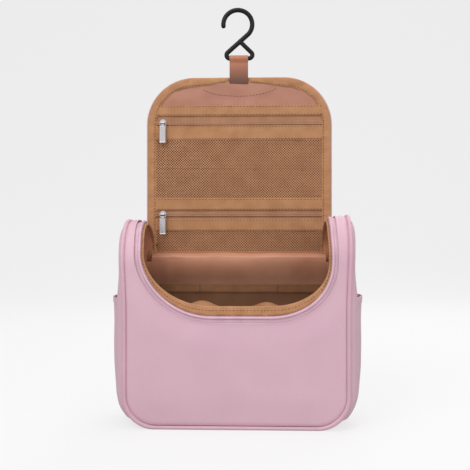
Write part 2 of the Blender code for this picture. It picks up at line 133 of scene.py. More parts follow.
def studio():
    finish, tree, shader = new_finish("pale_sweep", linear(124, 124, 124), 0.9,
                                      Emission_Color=(1, 1, 1, 1))
    ground = add_node(tree, "TexCoord").outputs["Object"]
    spots = add_node(tree, "TexNoise", {"Vector": ground, "Scale": 3.0, "Detail": 2.0})
    shade = add_node(tree, "MapRange", {0: spots, 3: 0.985, 4: 1.0})
    tint = toned(tree, shader.inputs["Base Color"].default_value, shade)
    seen = add_node(tree, "LightPath").outputs["Is Camera Ray"]
    glow = add_node(tree, "MapRange", {0: seen, 3: 0.28, 4: 0.70})
    feed(tree, shader, Base_Color=tint, Emission_Strength=glow)
    model = bmesh.new()
    bmesh.ops.create_grid(model, x_segments=2, y_segments=60, size=1)
    half_width, front, flat, curve, wall = 5, 2.5, 1.6, 1.2, 4.0
    length = front + flat + curve * pi / 2 + wall
    for corner in model.verts:
        along = (corner.co.y + 1) / 2 * length - front
        turn = min(max((along - flat) / curve, 0), pi / 2)
        up = max(along - flat - curve * pi / 2, 0)
        back = min(along, flat) + curve * sin(turn)
        corner.co = (corner.co.x * half_width, back, curve * (1 - cos(turn)) + up)
    new_piece("sweep", model, finish, body=None)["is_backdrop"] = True
    world = bpy.data.worlds.new("room")
    world.use_nodes = True
    room = world.node_tree.nodes["Background"]
    room.inputs["Color"].default_value, room.inputs["Strength"].default_value = (1, 1, 1, 1), 0.52
    bpy.context.scene.world = world
    lamps = (
        ("key_lamp", (-0.9, -1.5, 1.7), 1.3, 19.5),
        ("fill_lamp", (1.5, -1.3, 0.9), 1.5, 9),
        ("top_lamp", (0.1, 0.3, 2.2), 1.6, 13),
        ("back_lamp", (0.5, 1.35, 1.25), 1.0, 7),
        ("front_lamp", (-0.3, -1.9, 0.75), 1.7, 4.8),
    )
    for name, place, size, power in lamps:
        lamp = bpy.data.lights.new(name, "AREA")
        lamp.size, lamp.energy = size, power
        holder = bpy.data.objects.new(name, lamp)
        holder.location = place
        aim = Vector((0, 0, 0.2)) - Vector(place)
        holder.rotation_euler = aim.to_track_quat("-Z", "Y").to_euler()
        bpy.context.scene.collection.objects.link(holder)
    camera = bpy.data.cameras.new("camera")
    camera.sensor_width, camera.lens = 36, 61.3
    eye = bpy.data.objects.new("camera", camera)
    yaw, away, aim_x, aim_y, eye_height = radians(2.2), 0.8377, -0.0008, -0.0523, 0.205
    eye.location = (aim_x + away * sin(yaw), aim_y - away * cos(yaw), eye_height)
    eye.rotation_euler = (pi / 2, 0, yaw)
    bpy.context.scene.collection.objects.link(eye)
    bpy.context.scene.camera = eye
    bpy.context.scene.view_settings.view_transform = "Standard"


studio()

# ------------------------------------------------------------------ outer walls
# Polyurethane leather with a fine pebbled grain over thin foam. The front wall has a U-shaped
# mouth and two arms that run over the arch; it is sewn to the sides with a covered cord.
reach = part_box("front_panel")[1].y
arch_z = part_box("front_panel")[1].z - reach
case_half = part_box("front_piping")[1].x
over_arch = arch_z + pi * reach
cord = 0.0022  # radius of the covered cord
hide = 0.0012  # thickness of the leather
mouth_half, mouth_low = 0.107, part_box("body_zip")[0].z - 0.0003
left_sag, right_sag, mouth_middle = 0.1885, 0.1730, 0.0045  # where the slack mouth curves in
side_share, turn_share, base_share = 0.6, 0.24, 0.16  # of each half of a U-shaped edge


def new_group(name, inputs, outputs):
    """An empty node group with its named sockets, and its two end nodes."""
    group = bpy.data.node_groups.new(name, "ShaderNodeTree")
    for label, kind, value in inputs:
        socket = group.interface.new_socket(label, in_out="INPUT", socket_type="NodeSocket" + kind)
        if value is not None:
            socket.default_value = value
    for label, kind in outputs:
        group.interface.new_socket(label, in_out="OUTPUT", socket_type="NodeSocket" + kind)
    return group, group.nodes.new("NodeGroupInput"), group.nodes.new("NodeGroupOutput")


def weighed(tree, value, weight, added=0.0):
    """A value times a weight, plus another value."""
    return add_node(tree, "Math", {0: value, 1: weight, 2: added}, operation="MULTIPLY_ADD")


def leather_grain():
    """Pebbled cells with fine pores: a height for bump, and a slow change of tone."""
    group, given, result = new_group(
        "leather grain",
        [("Vector", "Vector", None), ("Cells", "Float", 900.0)],
        [("Height", "Float"), ("Tone", "Float")],
    )
    place, cells = given.outputs["Vector"], given.outputs["Cells"]
    pebbles = add_node(group, "TexVoronoi", {"Vector": place, "Scale": cells}, feature="SMOOTH_F1")
    pores = add_node(group, "TexNoise", {"Vector": place, "Scale": 2600.0, "Detail": 2.0})
    creases = add_node(group, "TexNoise", {"Vector": place, "Scale": 130.0, "Detail": 4.0})
    patches = add_node(group, "TexNoise", {"Vector": place, "Scale": 14.0, "Detail": 3.0})
    fine = weighed(group, pores, 0.25, weighed(group, pebbles.outputs["Distance"], -0.8))
    feed(group, result, Height=weighed(group, creases, 0.9, fine),
         Tone=weighed(group, pebbles.outputs["Distance"], -0.35, patches))
    return group


grain = leather_grain()


def painted_shade_below(tree, colour, spot, low, high, light, **settings):
    """A colour with painted shade below two heights, and its share of painted light above them."""
    height = add_node(tree, "SeparateXYZ", {0: spot}).outputs["Z"]
    return toned(tree, colour, add_node(tree, "MapRange", {0: height, 1: low, 2: high, 3: 0.42, 4: light},
                                        **settings))


def leather(name, light, dark, rough, cells=900.0, depth=0.00008, shade_and_highlight_heights=None):
    """Leather, with painted shade below two given heights and a painted highlight above them."""
    finish, tree, shader = new_finish(name, light, rough, Sheen_Weight=0.12, Sheen_Roughness=0.5)
    spot = add_node(tree, "TexCoord").outputs["Object"]
    skin = add_node(tree, "Group", {"Vector": spot, "Cells": cells}, node_tree=grain)
    blend = add_node(tree, "MapRange", {0: skin.outputs["Tone"], 1: 0.15, 2: 0.65})
    tint = add_node(tree, "MixRGB", {0: blend, 1: dark, 2: light})
    if shade_and_highlight_heights:
        # painted shade below the heights, and a painted highlight of 1.4 times the colour above them
        tint = painted_shade_below(tree, tint, spot, *shade_and_highlight_heights, 1.4)
    shine = add_node(tree, "MapRange", {0: skin, 1: 0.0, 2: 0.8, 3: rough + 0.08, 4: rough - 0.06})
    bump = add_node(tree, "Bump", {"Strength": 0.55, "Distance": depth, "Height": skin})
    feed(tree, shader, Base_Color=tint, Roughness=shine, Normal=bump)
    return finish


pink = leather("pink_leather", linear(221, 182, 195), linear(214, 173, 188), 0.52)


def rising(distance, width):
    """From 0 at an edge to 1 at width away from it, smoothly."""
    share = min(max(distance / width, 0), 1)
    return share * share * (3 - 2 * share)


def slumped(place):
    """The soft arch spreads, and stands a little higher on the right than on the left."""
    free = rising(0.9 * reach - place.y, reach)  # the back wall is held by the lid
    lift = 0.0023 * place.x / mouth_half * rising(place.z - 0.11, 0.1) * free
    spread = 1 + 0.022 * rising(place.z - 0.12, 0.08) * free
    return Vector((place.x * spread, place.y, place.z + lift))


def on_case(x, s, rise, facing=1):
    """A place on the outer wall: s runs up the front and over the arch, rise points outwards."""
    turn, out = (s - arch_z) / reach, reach + rise
    if turn < 0:
        return slumped(Vector((x, -facing * out, s)))
    if turn < pi:
        return slumped(Vector((x, -facing * out * cos(turn), arch_z + out * sin(turn))))
    return slumped(Vector((x, facing * out, arch_z - (turn - pi) * reach)))


def behind(x, s, rise):
    """The same, from the back wall."""
    return on_case(x, s, rise, -1)


def halves(t):
    """The side of a U-shaped edge that t is on, and how far along that half it is."""
    return (-1, 2 * t) if t < 0.5 else (1, 2 - 2 * t)


def cup(half, bottom, corner, top):
    """A U-shaped edge, as a function of t: down the left, along the base and up the right."""

    def edge(t):
        side, part = halves(t)
        if part < side_share:
            return side * half, top + (bottom + corner - top) * part / side_share
        if part < 1 - base_share:
            turn = (part - side_share) / turn_share * pi / 2
            across = half - corner + corner * cos(turn)
            return side * across, bottom + corner * (1 - sin(turn))
        return side * (half - corner) * (1 - part) / base_share, bottom

    return edge


def mouth_edge(aside, below=None):
    """The mouth's edge, moved in by aside at its sides and by below at its base.

    The soft wall sags in a long curve on the left and a tighter one on the right."""
    base = mouth_low + (aside if below is None else below)

    def edge(t):
        side, part = halves(t)
        centre_x, centre_s, power = (-0.0260, left_sag, 2.0) if side < 0 else (0.0350, right_sag, 2.12)
        wide = mouth_half - aside - abs(centre_x) - 0.0012
        if part < side_share:
            s = over_arch + (centre_s - over_arch) * part / side_share
            return side * (abs(centre_x) + wide) - 0.0012 * rising(s - centre_s, 0.04), s
        if part < 1 - base_share:
            turn = (part - side_share) / turn_share * pi / 2
            return (centre_x + side * wide * cos(turn) ** (2 / power),
                    centre_s - (centre_s - base) * sin(turn) ** (2 / power))
        return mouth_middle + (centre_x - mouth_middle) * (1 - part) / base_share, base

    return edge


def wall_edge(half, bottom, corner):
    """A wall's outer edge, which keeps level with the mouth's edge down to where that curves in."""
    arc_length = corner * pi / 2

    def edge(t):
        side, part = halves(t)
        start = left_sag if side < 0 else right_sag
        if part < side_share:
            return side * half, over_arch + (start - over_arch) * part / side_share
        down, along = start - bottom - corner, half - corner - side * mouth_middle
        way = (part - side_share) / (1 - side_share) * (down + arc_length + along)
        if way < down:
            return side * half, start - way
        if way < down + arc_length:
            turn = (way - down) / corner
            return side * (half - corner + corner * cos(turn)), bottom + corner * (1 - sin(turn))
        return side * (half - corner - (way - down - arc_length)), bottom

    return edge


def between(inner, outer, t, share):
    """A place at a share of the way between two edges, and its distance from each of them."""
    (x, s), (outer_x, outer_s) = inner(t), outer(t)
    over, up = outer_x - x, outer_s - s
    width = sqrt(over ** 2 + up ** 2)
    return x + over * share, s + up * share, share * width, (1 - share) * width


def cloth_grid(columns, rows, mapped):
    """A square grid, with its cloth's map in metres from mapped(across, up)."""
    model = bmesh.new()
    uv = model.loops.layers.uv.new("cloth")
    bmesh.ops.create_grid(model, x_segments=columns, y_segments=rows, size=1)
    for face in model.faces:
        for loop in face.loops:
            loop[uv].uv = mapped(loop.vert.co.x, (loop.vert.co.y + 1) / 2)
    return model


def thicken(model, thickness):
    """Gives a sheet its thickness, towards the side that the sign says."""
    model.normal_update()
    bmesh.ops.solidify(model, geom=model.faces, thickness=thickness)
    bmesh.ops.remove_doubles(model, verts=model.verts, dist=2e-6)


def soft_noise(x, s, size, depth, seed=0.0):
    return depth * noise.noise(Vector((x / size, s / size, seed)))


def roll(name, inner, outer, place, middle, thick, finish, slot, body="case", rows=200, columns=24,
         square=1.0, span=(0.0, 1.0), cloth=(0.01, 0.5)):
    """A closed strip between two edges, round in section, or flatter where square is small.

    middle and thick are heights, as functions of x, s and the distances from both edges."""
    model = cloth_grid(columns, rows, lambda across, up: ((across + 1) * cloth[0], up * cloth[1]))
    for corner in model.verts:
        turn = pi * (corner.co.x + 1)
        t = span[0] + (span[1] - span[0]) * (corner.co.y + 1) / 2
        spot = between(inner, outer, t, (1 - cos(turn)) / 2)
        up = sin(turn)
        up = abs(up) ** square * (1 if up > 0 else -1)
        corner.co = place(*spot[:2], middle(*spot) + thick(*spot) * up)
    bmesh.ops.remove_doubles(model, verts=model.verts, dist=2e-6)
    rims = [edge for edge in model.edges if edge.is_boundary]
    bmesh.ops.holes_fill(model, edges=rims, sides=0)
    return new_piece(name, model, finish, body)


def level(value):
    """A height that is the same all over."""
    return lambda x, s, near, far: value


def front_swell(x, s, near, far):
    belly = 0.0020 * rising(far, 0.035) * rising(near, 0.03)
    turned = -0.0013 * (1 - rising(far, 0.0035)) + 0.0005 * (1 - rising(near, 0.003))
    return belly + turned - 0.0006 + soft_noise(x, s, 0.03, 0.0005) * rising(far, 0.01)


panel_half = case_half - 2 * cord
wall_shape = (panel_half + 0.0005, 0.0042, 0.031)  # half width, bottom and corner
front_wall = roll("front_wall", mouth_edge(0), wall_edge(*wall_shape), on_case, front_swell,
                  level(0.0006), pink, "pink_leather", square=0.35, columns=64, rows=280)
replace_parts(front_wall, "front_panel", "front_foam")

piping = leather("piping_leather", linear(219, 178, 193), linear(208, 166, 182), 0.5)
for name, place in (("front_piping", on_case), ("back_piping", behind)):
    top = arch_z + reach * pi / 2 - 0.0002
    cover = roll(name + "_cord", cup(panel_half, 2 * cord - 0.0004, 0.0316, top),
                 cup(case_half, 0, 0.0340, top), place, level(-0.0010), level(cord), piping,
                 "pink_piping", columns=14, rows=220)
    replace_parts(cover, name)

side_corner, side_low = 0.036, 0.0015
corner_length = side_corner * pi / 2
side_depth = reach - 0.0035


def on_side(side):
    """A place on a side wall: y across, s from the base seam round the corner and up."""
    centre_x, centre_z = case_half - side_corner, side_low + side_corner

    def place(y, s, rise):
        turn, out = s / side_corner, side_corner + rise
        if s < corner_length:
            return Vector((side * (centre_x + out * sin(turn)), y, centre_z - out * cos(turn)))
        return slumped(Vector((side * (centre_x + out), y, centre_z + s - corner_length)))

    return place


def side_height(s):
    """How high a place on the side is above the table."""
    if s < corner_length:
        return side_low + side_corner * (1 - cos(s / side_corner))
    return side_low + side_corner + s - corner_length


def side_panel(name, side, half, low, high, rise, thickness, finish, rows=90, columns=40):
    """A sheet over one side wall, as wide as 2 * half, up to the arch or to high."""
    model = cloth_grid(columns, rows, lambda across, up: (across * half, up * (high or 0.24)))
    place = on_side(side)
    arch_s = corner_length + arch_z - side_low - side_corner
    for corner in model.verts:
        across = sin(corner.co.x * pi / 2)
        y, up = across * half, (corner.co.y + 1) / 2
        top = high or arch_s + half * sqrt(max(1 - across * across, 0))
        s = low + up * (top - low)
        above = max(s - arch_s, 0)
        inset = half - sqrt(y * y + above * above)
        corner.co = place(y, s, rise(y, s, inset, s - low, top - s))
    thicken(model, side * thickness)
    return new_piece(name, model, finish)


def side_swell(y, s, inset, up, down):
    share, height = min(max(inset / side_depth, 0), 1), side_height(s)
    full = 0.0056 + 0.0016 * rising(height - 0.185, 0.025) + 0.0060 * rising(0.175 - height, 0.05)
    full *= rising(s, 0.045) * (1 - (1 - share) ** 2) ** 0.45
    return full - 0.0020 * (1 - rising(inset, 0.003)) + soft_noise(y, s, 0.028, 0.0007, 3) * share


def pocket_swell(y, s, inset, up, down):
    share = min(max(inset / 0.044, 0), 1)
    height = side_height(s)
    full = 0.0112 + 0.0036 * rising(height - 0.02, 0.05)
    round_ = (1 - (1 - share) ** 2) ** 0.6 * rising(up, 0.012) ** 0.7
    hem = 0.0006 * (1 - rising(down - 0.0066, 0.0008))
    return 0.0006 + full * round_ + hem * rising(share, 0.2) + \
        soft_noise(y, s, 0.03, 0.0006, 5) * rising(share, 0.4)


for label, side in (("left", -1), ("right", 1)):
    gusset = side_panel(label + "_side", side, side_depth, 0.0, None, side_swell, hide, pink)
    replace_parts(gusset, label + "_gusset")
    pocket_top = corner_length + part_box(label + "_side_pocket")[1].z - side_low - side_corner
    pocket = side_panel(label + "_pocket", side, 0.0443, 0.020, pocket_top, pocket_swell, 0.0011,
                        pink, rows=110, columns=48)
    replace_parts(pocket, label + "_side_pocket")


def slab(name, half, low, high, place, rise, thickness, finish, body="case", rows=60, columns=60):
    """A sheet from low to high that is as wide as 2 * half(s), with a thickness."""
    wide, long = half((low + high) / 2), high - low
    model = cloth_grid(columns, rows, lambda across, up: (across * wide, low + up * long))
    for corner in model.verts:
        s = low + (corner.co.y + 1) / 2 * long
        half_here = half(s)
        x = corner.co.x * half_here
        side = half_here - abs(x)
        corner.co = place(x, s, rise(x, s, min(side, s - low, high - s), side))
    thicken(model, thickness)
    return new_piece(name, model, finish, body)


def cup_half(half, bottom, corner):
    """The half width of a panel with round bottom corners, at each height."""

    def width(s):
        down = max(bottom + corner - s, 0)
        return half - corner + sqrt(max(corner * corner - down * down, 0))

    return width


def back_swell(x, s, near, side):
    return 0.0012 * rising(near, 0.03) - 0.0013 * (1 - rising(side, 0.0035)) + \
        soft_noise(x, s, 0.035, 0.0006, 7) * rising(near, 0.01)


back_wall = slab("back_wall", cup_half(*wall_shape), wall_shape[1], arch_z + 0.0004, behind,
                 back_swell, -hide, pink, rows=70, columns=80)
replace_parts(back_wall, "back_panel", "back_foam")


def under(x, s, rise):
    return Vector((x, s, side_low - rise))


base = slab("base", lambda s: case_half - side_corner, -side_depth, side_depth, under,
            lambda x, s, near, side: -0.0004 * rising(near, 0.02), -hide, pink,
            rows=20, columns=40)
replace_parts(base, "base_panel", "base_board")

# ------------------------------------------------------------------ main zip on the case
# Woven pink tape along the mouth, sewn under the leather's turned edge. The nylon coil is on the
# tape's inner side, so a smooth ridge shows along the free edge.


def woven_cloth():
    """Threads that pass over and under each other, from a cloth map in metres."""
    group, given, result = new_group(
        "woven cloth",
        [("Vector", "Vector", None), ("Threads", "Float", 1400.0), ("Slant", "Float", 0.0)],
        [("Height", "Float"), ("Tone", "Float")],
    )
    spot = given.outputs["Vector"]
    split = add_node(group, "SeparateXYZ", {0: spot})
    turns = weighed(group, given.outputs["Threads"], 2 * pi)
    lean = weighed(group, split.outputs["Y"], given.outputs["Slant"], split.outputs["X"])
    waves = [add_node(group, "Math", {0: weighed(group, way, turns)}, operation="SINE")
             for way in (lean, split.outputs["Y"])]
    crossed = weighed(group, *waves)
    slub = add_node(group, "TexNoise", {"Vector": spot, "Scale": 900.0, "Detail": 2.0})
    patches = add_node(group, "TexNoise", {"Vector": spot, "Scale": 60.0, "Detail": 3.0})
    feed(group, result, Height=weighed(group, slub, 0.5, crossed),
         Tone=weighed(group, crossed, 0.22, patches))
    return group


weave = woven_cloth()


def fabric(name, light, dark, rough, threads, slant=0.0, **constants):
    """Woven cloth of so many threads to the metre, which lean where slant is given."""
    finish, tree, shader = new_finish(name, light, rough, **constants)
    spot = add_node(tree, "UVMap", uv_map="cloth")
    cloth = add_node(tree, "Group", {"Vector": spot, "Threads": threads, "Slant": slant}, node_tree=weave)
    blend = add_node(tree, "MapRange", {0: cloth.outputs["Tone"], 1: 0.2, 2: 0.8})
    tint = add_node(tree, "MixRGB", {0: blend, 1: dark, 2: light})
    bump = add_node(tree, "Bump", {"Strength": 0.6, "Distance": 0.00006, "Height": cloth})
    shine = add_node(tree, "MapRange", {0: cloth, 1: -1.0, 2: 1.5, 3: rough + 0.08, 4: rough - 0.06})
    feed(tree, shader, Base_Color=tint, Roughness=shine, Normal=bump)
    return finish


pink_tape = fabric("pink_zip_tape", linear(228, 190, 204), linear(212, 170, 188), 0.62, 1100.0,
                   Sheen_Weight=0.25)
tape = roll("mouth_zip_tape", mouth_edge(0.0046), mouth_edge(-0.0010), on_case,
            level(-0.0026), level(0.0004), pink_tape, "pink_tape", columns=16, square=0.3,
            cloth=(0.008, 0.55))
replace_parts(tape, "body_zip")
roll("mouth_zip_ridge", mouth_edge(0.0066), mouth_edge(0.0036), on_case, level(-0.0019),
     level(0.0014), pink_tape, "pink_tape", columns=12, square=0.8, cloth=(0.004, 0.55))


def even_steps(edge, gap, samples=1500):
    """Evenly spaced points along an edge, each with its direction."""
    points = [Vector(edge(i / samples)) for i in range(samples + 1)]
    found, left = [], gap / 2
    for before, after in zip(points, points[1:]):
        step = after - before
        if step.length < left:
            left -= step.length
            continue
        found.append((before + step.normalized() * left, step.normalized()))
        left = gap - (step.length - left)
    return found


def seam_line(inner, outer, share, middle, thick, square):
    """A line along the top of a roll, at a share of the way across it, as (x, s, rise)."""

    def line(t):
        spot = between(inner, outer, t, share)
        up = (2 * sqrt(share * (1 - share))) ** square
        return *spot[:2], middle(*spot) + thick(*spot) * up + 0.00012

    return line


def beads(name, edges, place, height, gap, size, finish, body="case", across=False, wanted=None):
    """Small rounded grains along edges: stitches, or the coils of a zip where across is True."""
    model = bmesh.new()
    for edge in edges:
        for spot, direction in even_steps(edge, gap):
            x, s = spot[:2]
            if wanted and not wanted(x, s):
                continue
            rise = spot[2] if len(spot) == 3 else height(x, s) if callable(height) else height
            here = place(x, s, rise)
            out = (place(x, s, rise + 0.001) - here).normalized()
            ahead = (place(x + direction.x * 1e-4, s + direction.y * 1e-4, rise) - here).normalized()
            side = out.cross(ahead).normalized()
            first, second = (side, ahead) if across else (ahead, side)
            shape = Matrix((first * size[0], second * size[1], out * size[2])).transposed().to_4x4()
            bmesh.ops.create_icosphere(model, subdivisions=1, radius=1,
                                       matrix=Matrix.Translation(here) @ shape)
    return new_piece(name, model, finish, body, crease=180)


def speckled(name, dark, light, rough, specks, rough_range=None, stretch=(1, 1, 1), bump=0.0, **constants):
    """A finish with small changes of tone, and of roughness and height where those are given."""
    finish, tree, shader = new_finish(name, light, rough, **constants)
    spot = add_node(tree, "TexCoord").outputs["Object"]
    drawn = add_node(tree, "Mapping", {"Vector": spot, "Scale": stretch})
    speck = add_node(tree, "TexNoise", {"Vector": drawn, "Scale": specks, "Detail": 3.0})
    feed(tree, shader, Base_Color=add_node(tree, "MixRGB", {0: speck, 1: dark, 2: light}))
    if rough_range:
        shine = add_node(tree, "MapRange", {0: speck, 3: rough_range[0], 4: rough_range[1]})
        feed(tree, shader, Roughness=shine)
    if bump:
        relief = add_node(tree, "Bump", {"Strength": 0.3, "Distance": bump, "Height": speck})
        feed(tree, shader, Normal=relief)
    return finish


coil_finish = speckled("pink_coil", linear(196, 150, 168), linear(216, 172, 190), 0.4, 700.0)
coil_gap, coil_size = 0.0012, (0.0011, 0.00045, 0.0005)
beads("mouth_zip_coil", [mouth_edge(0.0064)], on_case, -0.0034, coil_gap, coil_size, coil_finish,
      across=True)

# ------------------------------------------------------------------ binding inside the mouth
# Tan ribbed tape folded over the raw edges of leather and lining, a little gathered all round,
# with a row of machine stitching along its middle.
tan = fabric("tan_binding_tape", linear(195, 142, 99), linear(168, 115, 75), 0.75, 900.0, slant=1.0,
             Sheen_Weight=0.2)


def gathers(x, s):
    """Puckers across the tape."""
    return soft_noise(x, s, 0.006, 0.0009, 11) + soft_noise(x, s, 0.0025, 0.0004, 13)


def binding_middle(x, s, near, far):
    return -0.0046 - 0.0012 * rising(near, 0.008) + gathers(x, s)


binding_edge, rim, binding_thick = mouth_edge(0.0056, 0.0068), mouth_edge(0.0095, 0.0172), level(0.0013)
binding = roll("mouth_binding", binding_edge, rim, on_case, binding_middle, binding_thick, tan,
               "tan_binding", columns=20, rows=320, square=0.7, cloth=(0.009, 0.55))
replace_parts(binding, "body_binding")
# Brown thread, painted darker still with the shade of its stitch holes.
thread_finish = speckled("tan_thread", linear(92, 56, 32), linear(128, 84, 52), 0.6, 1500.0)


def stitches(name, rows, place, height, body="case", finish=thread_finish, wanted=None):
    """Rows of machine stitches."""
    gap, size = 0.0037, (0.0011, 0.00046, 0.00030)
    return beads(name, rows, place, height, gap, size, finish, body, wanted=wanted)


binding_seam = seam_line(binding_edge, rim, 0.55, binding_middle, binding_thick, 0.7)
stitches("mouth_binding_stitches", [binding_seam], on_case, None)

# ------------------------------------------------------------------ lining
# Terracotta satin, loose over the walls' foam, with painted shade low down, where the case's inside is in
# shadow. It stands forward in a soft roll where the lid bends, and sags a little between its seams.


def satin(name, light, dark, rough, painted_shade_heights=None):
    """Fine woven satin, with painted shade below two given heights."""
    finish, tree, shader = new_finish(name, light, rough, Sheen_Weight=0.35, Sheen_Roughness=0.35)
    spot = add_node(tree, "TexCoord").outputs["Object"]
    fine = add_node(tree, "TexNoise", {"Vector": spot, "Scale": 40.0, "Detail": 5.0})
    threads = add_node(tree, "TexWave", {"Vector": spot, "Scale": 900.0, "Distortion": 1.5, "Detail": 1.0},
                       bands_direction="X")
    tint = add_node(tree, "MixRGB", {0: fine, 1: dark, 2: light})
    if painted_shade_heights:
        # painted shade: the satin is darker low down inside the case
        tint = painted_shade_below(tree, tint, spot, *painted_shade_heights, 1.0, interpolation_type="SMOOTHSTEP")
    height = weighed(tree, threads.outputs["Fac"], 0.15, fine)
    bump = add_node(tree, "Bump", {"Strength": 0.35, "Distance": 0.0004, "Height": height})
    feed(tree, shader, Base_Color=tint, Normal=bump)
    return finish


# The lining's colour has painted shade below these heights, for the case's shaded inside.
lining = satin("terracotta_satin", linear(222, 162, 132), linear(200, 138, 108), 0.42,
               painted_shade_heights=(0.140, 0.176))
lining_shape, satin_ply = (case_half - 0.0024, 0.0058, 0.0311), 0.0006
front_lining = roll("front_wall_lining", mouth_edge(0.0088, 0.0150), wall_edge(*lining_shape), on_case,
                    lambda x, s, near, far: -0.0052 + soft_noise(x, s, 0.02, 0.0012, 17) * rising(far, 0.01),
                    level(0.0003), lining, "terracotta_lining", square=0.3, columns=40)
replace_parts(front_lining, "front_lining")
hinge_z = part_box("lid_outer_rear")[0].z - 0.0003
lining_y, fold_z, lining_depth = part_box("back_lining")[1].y, 0.1740, reach - 0.0043


def inner_back(x, s, rise):
    """A place on the back wall's inside: s is the height, rise points to the front."""
    return Vector((x, lining_y - rise, s))

def hinge_fold(x, s, near, side):
    """The lining's soft roll in front of the lid's bend, and its hollow below it."""
    crest = 0.1795 + soft_noise(x, 0, 0.04, 0.0012, 18)
    fold = 0.0098 * (rising(s - 0.148, crest - 0.148) if s < crest else 1 - rising(s - crest, 0.0062))
    loose = soft_noise(x, s, 0.03, 0.0016, 19) + soft_noise(x, s * 0.3, 0.008, 0.0004, 23)
    return fold + loose * rising(side, 0.01) * rising(0.186 - s, 0.01)


back_lining = slab("back_wall_lining", cup_half(*lining_shape), lining_shape[1], fold_z, inner_back,
                   hinge_fold, satin_ply, lining, rows=80, columns=90)
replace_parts(back_lining, "back_lining")
hinge_lining = slab("hinge_lining", lambda s: 0.1010, fold_z, 0.1860, inner_back, hinge_fold, satin_ply,
                    lining, body=None, rows=30, columns=90)
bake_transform(hinge_lining)
for label, side in (("left", -1), ("right", 1)):
    wall = side_panel(label + "_side_lining", side, lining_depth, 0.0, None,
                      lambda y, s, inset, up, down: -0.0019 - abs(soft_noise(y, s, 0.02, 0.0012, 29)),
                      satin_ply, lining)
    if side < 0:
        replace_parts(wall, "gusset_lining")
slab("floor_lining", lambda s: case_half - side_corner, -lining_depth, lining_depth,
     lambda x, s, rise: Vector((x, s, 0.0049 + rise)),
     lambda x, s, near, side: 0.0010 * rising(near, 0.02) + soft_noise(x, s, 0.03, 0.0006, 31),
     satin_ply, lining)

# ------------------------------------------------------------------ mesh pockets in the case
# Knitted tan net with a folded band along its mouth. Bar tacks divide the rear one in three. The
# front one is slack, so its band stands up in two waves.


def net_piece(name, half, low, high, place, rise, finish, body="case", cell=0.00215,
              strand=0.00034):
    """A net of square holes on their corners, cut to a rectangle, with round-looking strands."""
    model = bmesh.new()
    uv = model.loops.layers.uv.new("cloth")
    size = (half + (high - low) / 2) / sqrt(2) * 1.05 + cell
    count = int(2 * size / cell)
    count += count % 2
    pitch = cell * sqrt(2)
    middle = round((low + high) / 2 / pitch) * pitch
    turn = Matrix.Translation((0, middle, 0)) @ Matrix.Rotation(pi / 4, 4, "Z")
    bmesh.ops.create_grid(model, x_segments=count, y_segments=count, size=count * cell / 2, matrix=turn)
    holes = list(model.faces)
    bmesh.ops.inset_individual(model, faces=holes, thickness=strand, use_even_offset=True)
    bmesh.ops.delete(model, geom=holes, context="FACES")
    for point, normal in (((half, 0, 0), (1, 0, 0)), ((-half, 0, 0), (-1, 0, 0)),
                          ((0, high, 0), (0, 1, 0)), ((0, low, 0), (0, -1, 0))):
        everything = [*model.verts, *model.edges, *model.faces]
        bmesh.ops.bisect_plane(model, geom=everything, plane_co=point, plane_no=normal, clear_outer=True)
    bmesh.ops.remove_doubles(model, verts=model.verts, dist=1e-6)
    for face in model.faces:
        for loop in face.loops:
            loop[uv].uv = loop.vert.co.xy
    model.normal_update()
    bmesh.ops.solidify(model, geom=model.faces, thickness=0.00045)
    for corner in model.verts:
        x, s, up = corner.co
        corner.co = place(x, s, rise(x, s) + up)
    return new_piece(name, model, finish, body, crease=180)


net_finish = fabric("tan_net", linear(218, 160, 116), linear(194, 136, 95), 0.7, 2600.0)
# Darker copies of the tan net and tape, with painted shade for their places inside the case.
shaded_net = fabric("tan_net_painted_shade", linear(162, 112, 76), linear(138, 92, 60), 0.75, 2600.0)
shaded_tape = fabric("tan_tape_painted_shade", linear(148, 102, 68), linear(124, 82, 52), 0.75, 900.0, slant=1.0)
inner_half, net_half = 0.1, 0.0998  # half widths of the hems and of the nets


def rear_sag(x, s):
    """The net stands off the wall between its tacks."""
    return 0.0022 + 0.0016 * abs(sin(3 * pi * (x + inner_half) / (2 * inner_half))) * rising(s - 0.045, 0.05)


rear_low, rear_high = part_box("rear_mesh_pocket")
rear_net = net_piece("rear_pocket_net", net_half, rear_low.z, rear_high.z + 0.001, inner_back, rear_sag,
                     shaded_net)
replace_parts(rear_net, "rear_mesh_pocket")
rear_band = slab("rear_pocket_hem", lambda s: inner_half, 0.1378, 0.1482, inner_back,
                 lambda x, s, near, side: rear_sag(x, s) + 0.0008 + 0.0004 * rising(near, 0.001), 0.0014,
                 shaded_tape, rows=10, columns=120)
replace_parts(rear_band, "rear_pocket_band")
tan_rows = [lambda t, z=z: (2 * inner_half * t - inner_half, z) for z in (0.1392, 0.1470)]
tacks = [lambda t, x=x: (x, 0.139 + 0.008 * t) for x in (-0.0450, 0.0450)]
stitches("rear_pocket_stitches", tan_rows, inner_back, lambda x, s: rear_sag(x, s) + 0.0014)
beads("rear_pocket_tacks", tacks, inner_back, lambda x, s: rear_sag(x, s) + 0.0013, 0.0013,
      (0.0004, 0.0012, 0.0003), thread_finish)
front_net_y, hem_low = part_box("front_mesh_pocket")[0].y, 0.1170


def inner_front(x, s, rise):
    """A place on the front pocket: s is the height, rise points to the back."""
    return Vector((x, front_net_y + rise, s))


front_net = net_piece("front_pocket_net", net_half, 0.040, 0.1175, inner_front,
                      lambda x, s: 0.0006 * sin(x * 60), shaded_net)
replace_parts(front_net, "front_mesh_pocket")


def wavy_front(x, s, rise):
    """A place on the slack front hem, which stands up and back in two soft peaks."""
    peaks = 0.0065 * (exp(-((x + 0.037) / 0.014) ** 2) + 0.8 * exp(-((x - 0.032) / 0.012) ** 2))
    share = rising(s - hem_low, 0.011)
    return inner_front(x, s + peaks * share, rise + 1.4 * peaks * share)


